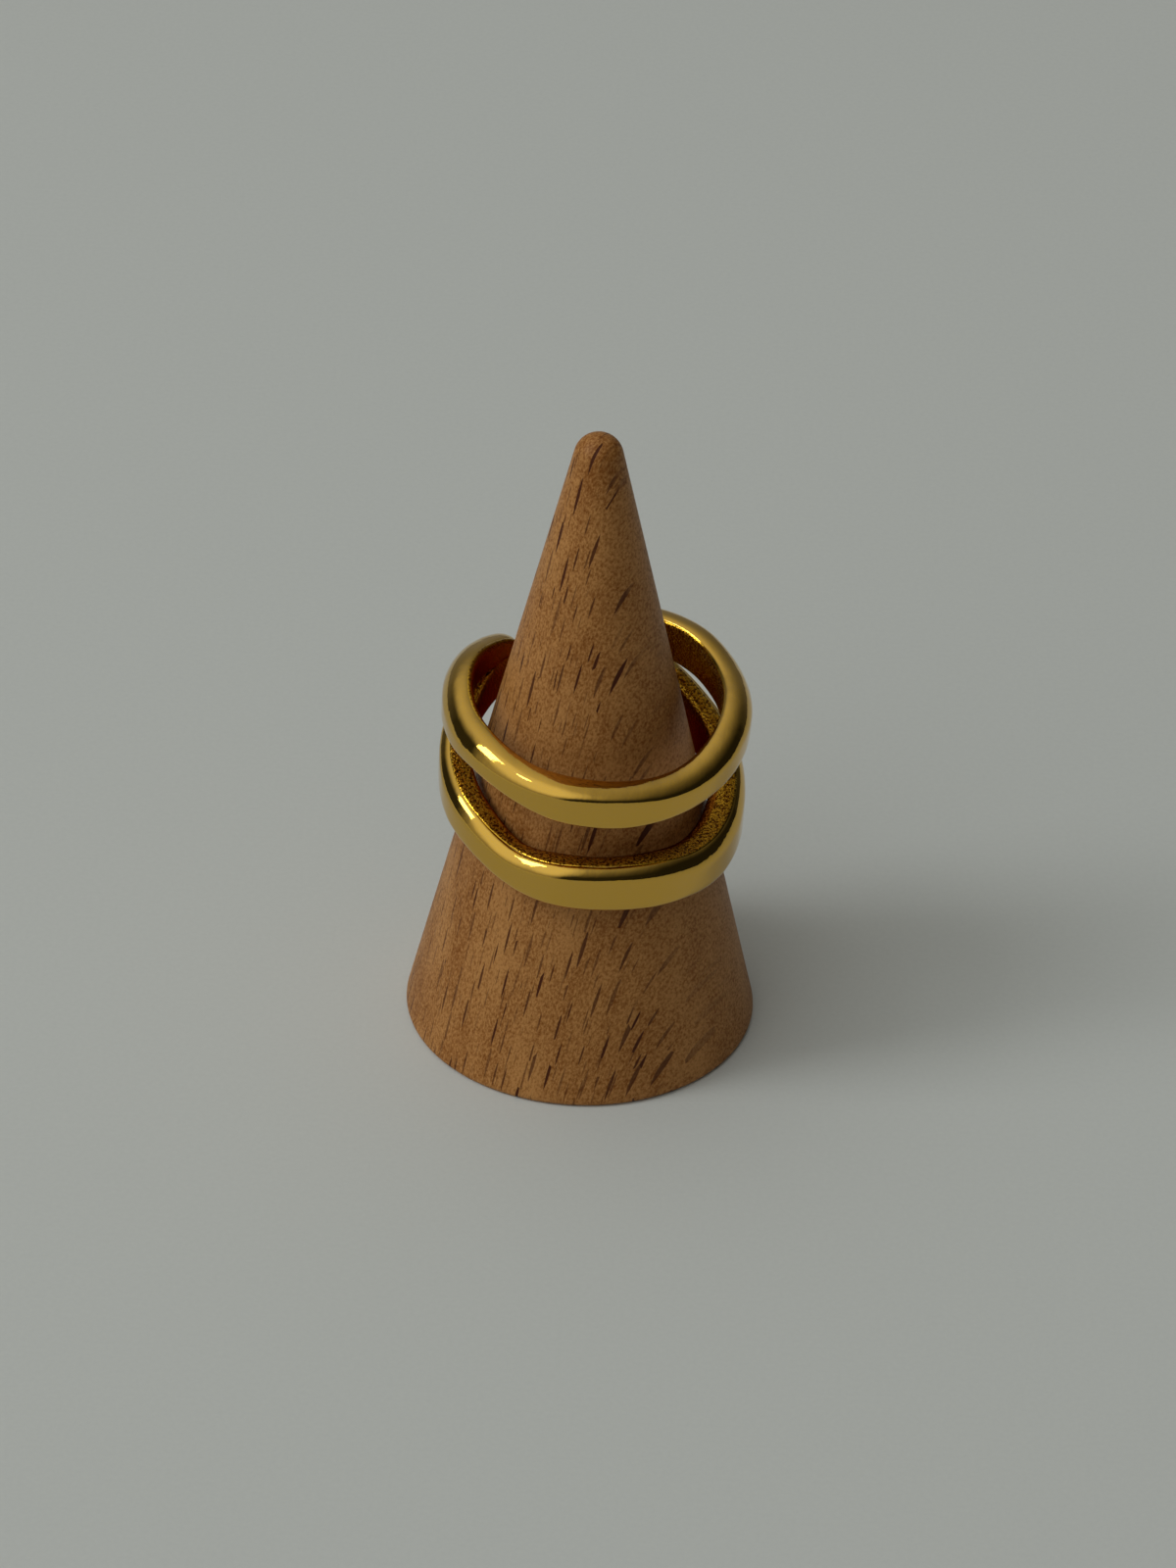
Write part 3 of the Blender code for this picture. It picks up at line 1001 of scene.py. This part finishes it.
    def cage(self) -> bpy.types.Mesh:
        """Build the coarse closed mesh that is rounded afterwards.

        Returns:
            The cage.
        """
        work = bmesh.new()
        span = self.right_fork - self.left_fork
        turns = [self.left_fork + span * step / self.band_steps for step in range(self.band_steps + 1)]
        left = self.fork(work, turns[0])
        right = self.fork(work, turns[-1])
        uppers = [left[0]]
        lowers = [left[1]]
        for turn in turns[1:-1]:
            upper_section, lower_section = self.sections(turn)
            uppers.append(self.add_section(work, turn, upper_section))
            lowers.append(self.add_section(work, turn, lower_section))
        for run, end in ((uppers, right[0]), (lowers, right[1])):
            run.append(end)
            for first, second in zip(run, run[1:]):
                self.bridge(work, first, second)
        self.build_arm(work, self.arm_loop(*left), self.left_fork, self.left_tip)
        self.build_arm(work, self.arm_loop(*right), self.right_fork, self.right_tip)
        return mesh_from(work, "ring_cage")

    def rounded(self) -> bpy.types.Mesh:
        """Round the cage by subdivision.

        Returns:
            The fine mesh.
        """
        rough = bpy.data.objects.new("ring_cage", self.cage())
        bpy.context.scene.collection.objects.link(rough)
        rounding = rough.modifiers.new("rounding", "SUBSURF")
        rounding.levels = self.fine_levels
        rounding.render_levels = self.fine_levels
        graph = bpy.context.evaluated_depsgraph_get()
        mesh = bpy.data.meshes.new_from_object(rough.evaluated_get(graph))
        bpy.data.objects.remove(rough, do_unlink=True)
        mesh.name = "polished_double_band_ring"
        return mesh

    def hand_finish(self, mesh: bpy.types.Mesh) -> None:
        """Give the surface the slow, shallow waves of hand polishing.

        Args:
            mesh: The ring's fine mesh.
        """
        for vertex, normal in zip(mesh.vertices, [item.vector.copy() for item in mesh.vertex_normals]):
            wave = noise.noise(vertex.co / self.hand_wave_length) * self.hand_wave
            wave += noise.noise(vertex.co / self.ripple_length) * self.ripple
            vertex.co += normal * wave

    def mark_recesses(self, mesh: bpy.types.Mesh, grain_name: str, inside_name: str) -> None:
        """Mark the grainy faces between the bands, where a polishing wheel can't reach and painted shade
        goes, and the inside, which gets painted shade.

        Args:
            mesh: The ring's fine mesh.
            grain_name: Name of the attribute for the grainy faces, which also get painted shade.
            inside_name: Name of the attribute for the painted shade on the inside.
        """
        grain = mesh.attributes.new(grain_name, "FLOAT", "POINT")
        inside = mesh.attributes.new(inside_name, "FLOAT", "POINT")
        base = self.foot_height()
        for index, vertex in enumerate(mesh.vertices):
            east = vertex.co.x - self.shift_right
            front = -vertex.co.y - self.shift_forward
            turn = math.degrees(math.atan2(east, front))
            turn += 360 if turn < self.wrap_turn else 0
            row = self.station(min(turn, STATIONS[-1].turn))
            share = (self.inner_radius + self.wall - math.hypot(east, front)) / self.wall
            parting = base + (row.lower_ridge + row.upper_foot) / 2 * self.height
            shaded = vertex.co.z < parting and self.left_fork < turn < self.right_fork
            edge = row.lower_inset + (self.shaded_edge if shaded else self.open_edge)
            # Grainy faces, widened where the upper band shades them; the material paints them darker, as
            # shade as well as grain.
            grain_and_shade_share = (share - edge) / self.grain_softness + 0.5
            # The inside, which the material paints dark as shade.
            inside_shade = (share - self.inside_from) / self.inside_softness
            grain.data[index].value = min(max(grain_and_shade_share, 0.0), 1.0)
            inside.data[index].value = min(max(inside_shade, 0.0), 1.0)

    def build(self, finish: GoldFinish) -> bpy.types.Object:
        """Build and dress the ring.

        Args:
            finish: The gold.

        Returns:
            The ring.
        """
        mesh = self.rounded()
        self.hand_finish(mesh)
        self.mark_recesses(mesh, finish.recess_attribute, finish.inside_attribute)
        piece = add_piece("polished_double_band_ring", mesh, finish.material())
        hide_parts("double_band_ring")
        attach(piece, ROOT_BODY)
        return piece


@dataclass(frozen=True)
class PhotoCamera:
    """A long lens that looks down on the front of the cone, as the photograph does."""

    focal_pixels: float = 8000.0
    picture_height: int = 1600
    sensor: float = 36.0
    distance: float = 0.56976
    elevation: float = 35.4509
    roll: float = 2.0195
    target: tuple[float, float, float] = (0.0, 0.0, 0.0207165)
    slide_right: float = 0.00002865
    slide_up: float = -0.00074903
    clip: tuple[float, float] = (0.01, 50.0)

    def build(self) -> bpy.types.Object:
        """Add the camera and make it the scene's own.

        Returns:
            The camera.
        """
        lift = math.radians(self.elevation)
        roll = math.radians(self.roll)
        forward = Vector((0.0, math.cos(lift), -math.sin(lift)))
        upright = Vector((0.0, math.sin(lift), math.cos(lift)))
        right = math.cos(roll) * Vector((1.0, 0.0, 0.0)) + math.sin(roll) * upright
        up = -math.sin(roll) * Vector((1.0, 0.0, 0.0)) + math.cos(roll) * upright
        place = Vector(self.target) - forward * self.distance
        place += right * self.slide_right
        place += up * self.slide_up
        data = bpy.data.cameras.new("photo_camera")
        data.sensor_fit = "VERTICAL"
        data.sensor_height = self.sensor
        data.lens = self.focal_pixels * self.sensor / self.picture_height
        data.clip_start, data.clip_end = self.clip
        camera = bpy.data.objects.new("photo_camera", data)
        facing = Matrix((right, up, -forward)).transposed().to_4x4()
        camera.matrix_world = Matrix.Translation(place) @ facing
        bpy.context.scene.collection.objects.link(camera)
        bpy.context.scene.camera = camera
        return camera


class Tone(Enum):
    """Tones of the plain surroundings, as linear colours."""

    NEAR_CEILING = (0.67, 0.67, 0.65, 1.0)
    FAR_CEILING = (0.100, 0.096, 0.084, 1.0)
    WINDOW_GLOW = (0.86, 0.88, 0.88, 1.0)
    SEEN = (0.30, 0.31, 0.30, 1.0)


class WallTone(NamedTuple):
    """How bright the wall is at one turn, in degrees from the front towards the right."""

    turn: float
    brightness: float


@dataclass(frozen=True)
class Studio:
    """The pale floor and the soft light: a window at the left, a pale ceiling and a dim room."""

    floor_radius: float = 3.0
    floor_sides: int = 96
    floor_colour: tuple[float, float, float, float] = (0.70, 0.72, 0.675, 1.0)
    floor_roughness: float = 0.85
    floor_sheen: float = 0.2
    tooth_scale: float = 2500.0
    tooth_layers: float = 3.0
    tooth_shade: float = 0.93
    tooth_depth: float = 0.01 * MM
    window_way: tuple[float, float, float] = (-0.72, -0.16, 0.68)
    glow_way: tuple[float, float, float] = (-0.48, -0.48, 0.74)
    window_distance: float = 0.9
    window_size: tuple[float, float] = (0.26, 0.42)
    window_power: float = 1.80
    window_colour: tuple[float, float, float] = (0.97, 1.0, 1.03)
    ceiling_fade: tuple[float, float] = (-0.55, 0.75)
    ceiling_edge: tuple[float, float] = (0.38, 0.94)
    glow_edge: tuple[float, float] = (0.76, 0.98)
    wall_blue: float = 0.95
    wall: tuple[WallTone, ...] = (
        WallTone(-180, 0.20),
        WallTone(-140, 0.15),
        WallTone(-112, 0.03),
        WallTone(-88, 0.03),
        WallTone(-72, 0.34),
        WallTone(-32, 0.34),
        WallTone(-14, 0.03),
        WallTone(30, 0.02),
        WallTone(62, 0.015),
        WallTone(112, 0.015),
        WallTone(140, 0.09),
        WallTone(180, 0.20),
    )

    def floor(self) -> bpy.types.Object:
        """Lay the floor.

        Returns:
            The floor.
        """
        material, bench = new_material("pale_paper")
        place = bench.add("ShaderNodeTexCoord").outputs["Object"]
        tooth = bench.noise(place, self.tooth_scale, self.tooth_layers)
        shade = tuple(self.tooth_shade * part for part in self.floor_colour[:3]) + (1.0,)
        bench.surface(
            Base_Color=bench.mix(tooth, shade, self.floor_colour),
            Roughness=self.floor_roughness,
            Specular_IOR_Level=self.floor_sheen,
            Normal=bench.bump(tooth, self.tooth_depth),
        )
        work = bmesh.new()
        bmesh.ops.create_circle(work, cap_ends=True, segments=self.floor_sides,
                                radius=self.floor_radius)
        floor = add_piece("pale_floor", mesh_from(work, "pale_floor"), material)
        return floor

    def window(self) -> bpy.types.Object:
        """Hang the soft window light at the left.

        Returns:
            The light.
        """
        data = bpy.data.lights.new("left_window", "AREA")
        data.shape = "RECTANGLE"
        data.size, data.size_y = self.window_size
        data.energy = self.window_power
        data.color = self.window_colour
        light = bpy.data.objects.new("left_window", data)
        way = Vector(self.window_way).normalized()
        light.location = way * self.window_distance
        light.rotation_euler = way.to_track_quat("Z", "Y").to_euler()
        bpy.context.scene.collection.objects.link(light)
        return light

    def surroundings(self) -> bpy.types.World:
        """Paint the light that comes from all round.

        Returns:
            The world.
        """
        world = bpy.data.worlds.new("studio")
        world.use_nodes = True
        bench = Bench(world.node_tree)
        way = bench.add("ShaderNodeTexCoord").outputs["Generated"]
        east, north, lift = bench.split(way)
        turn = bench.math("ARCTAN2", east, bench.math("MULTIPLY", north, -1.0))
        wall = bench.add("ShaderNodeValToRGB")
        bench.plug(wall.inputs[0], bench.math("MULTIPLY_ADD", turn, 1 / math.tau, 0.5))
        stops = wall.color_ramp.elements
        while len(stops) < len(self.wall):
            stops.new(1.0)
        for stop, tone in zip(stops, self.wall):
            stop.position = tone.turn / 360 + 0.5
            stop.color = (tone.brightness, tone.brightness, tone.brightness * self.wall_blue, 1.0)
        dimming = bench.ramp(east, *self.ceiling_fade)
        ceiling = bench.mix(dimming, Tone.NEAR_CEILING.value, Tone.FAR_CEILING.value)
        sky = bench.mix(bench.ramp(lift, *self.ceiling_edge), wall.outputs["Color"], ceiling)
        near = bench.vector("DOT_PRODUCT", way, tuple(Vector(self.glow_way).normalized()))
        sky = bench.mix(bench.ramp(near, *self.glow_edge), sky, Tone.WINDOW_GLOW.value)
        seen = bench.add("ShaderNodeLightPath").outputs["Is Camera Ray"]
        light = bench.add("ShaderNodeBackground")
        bench.plug(light.inputs["Color"], bench.mix(seen, sky, Tone.SEEN.value))
        output = bench.add("ShaderNodeOutputWorld")
        bench.plug(output.inputs["Surface"], light.outputs[0])
        bpy.context.scene.world = world
        return world


def report(piece: bpy.types.Object) -> None:
    """Log a piece's name and how many faces it has."""
    count = len(piece.data.polygons) if piece.type == "MESH" else 0
    log.info("%s built, %d faces", piece.name, count)


def main() -> None:
    """Set the studio up and dress the cone and the ring."""
    logging.basicConfig(level=logging.INFO, format="%(name)s: %(message)s")
    bpy.context.scene.view_settings.view_transform = "Standard"
    report(PhotoCamera().build())
    studio = Studio()
    report(studio.floor())
    report(studio.window())
    studio.surroundings()
    report(RingCone().build(BeechFinish()))
    report(DoubleBandRing().build(GoldFinish()))


if __name__ == "__main__":
    main()
